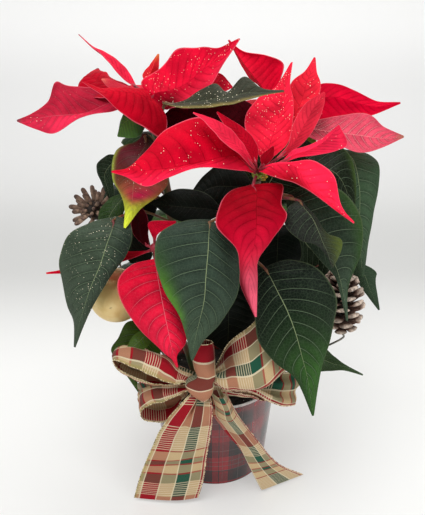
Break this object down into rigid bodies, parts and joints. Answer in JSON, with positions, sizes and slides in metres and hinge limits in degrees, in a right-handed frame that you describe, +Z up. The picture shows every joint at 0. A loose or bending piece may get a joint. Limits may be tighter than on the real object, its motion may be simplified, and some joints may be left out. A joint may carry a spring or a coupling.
{
  "type": "potted poinsettia",
  "caption": "Poinsettia with red bracts and dark green leaves in a glossy tartan pot, dressed with a wired tartan bow, pine cones and a matt gold bauble on wire picks.",
  "frame": {"origin": "middle of the pot's flat underside, on the surface that it stands on", "axes": "+Z up, -Y towards the front, where the bow is, and +X to the right as seen from the front"},
  "size_m": [0.3081, 0.2332, 0.3907],
  "materials": {
    "pot": "gloss",
    "soil": "matte",
    "leaf": "satin",
    "bract": "satin",
    "flower": "satin",
    "ribbon": "matte",
    "cone": "matte",
    "bauble": "satin",
    "wire": "satin"
  },
  "bodies": {
    "root": {"pot": "pot", "soil": "soil", "leafy_stem_a": "leaf", "leafy_stem_b": "leaf", "leafy_stem_c": "leaf", "leafy_stem_d": "leaf", "leafy_stem_e": "leaf", "bracts_a": "bract", "bracts_b": "bract", "bracts_c": "bract", "bracts_d": "bract", "flowers_a": "flower", "flowers_b": "flower", "flowers_c": "flower", "bow_loop_left_upper": "ribbon", "bow_loop_left_lower": "ribbon", "bow_loop_right_upper": "ribbon", "bow_loop_right_lower": "ribbon", "bow_tail_left": "ribbon", "bow_tail_right": "ribbon", "bow_knot": "ribbon", "pinecone_left": "cone", "pinecone_right": "cone", "bauble": "bauble", "bow_pick": "wire", "pinecone_left_pick": "wire", "pinecone_right_pick": "wire", "bauble_pick": "wire"}
  },
  "joints": []
}
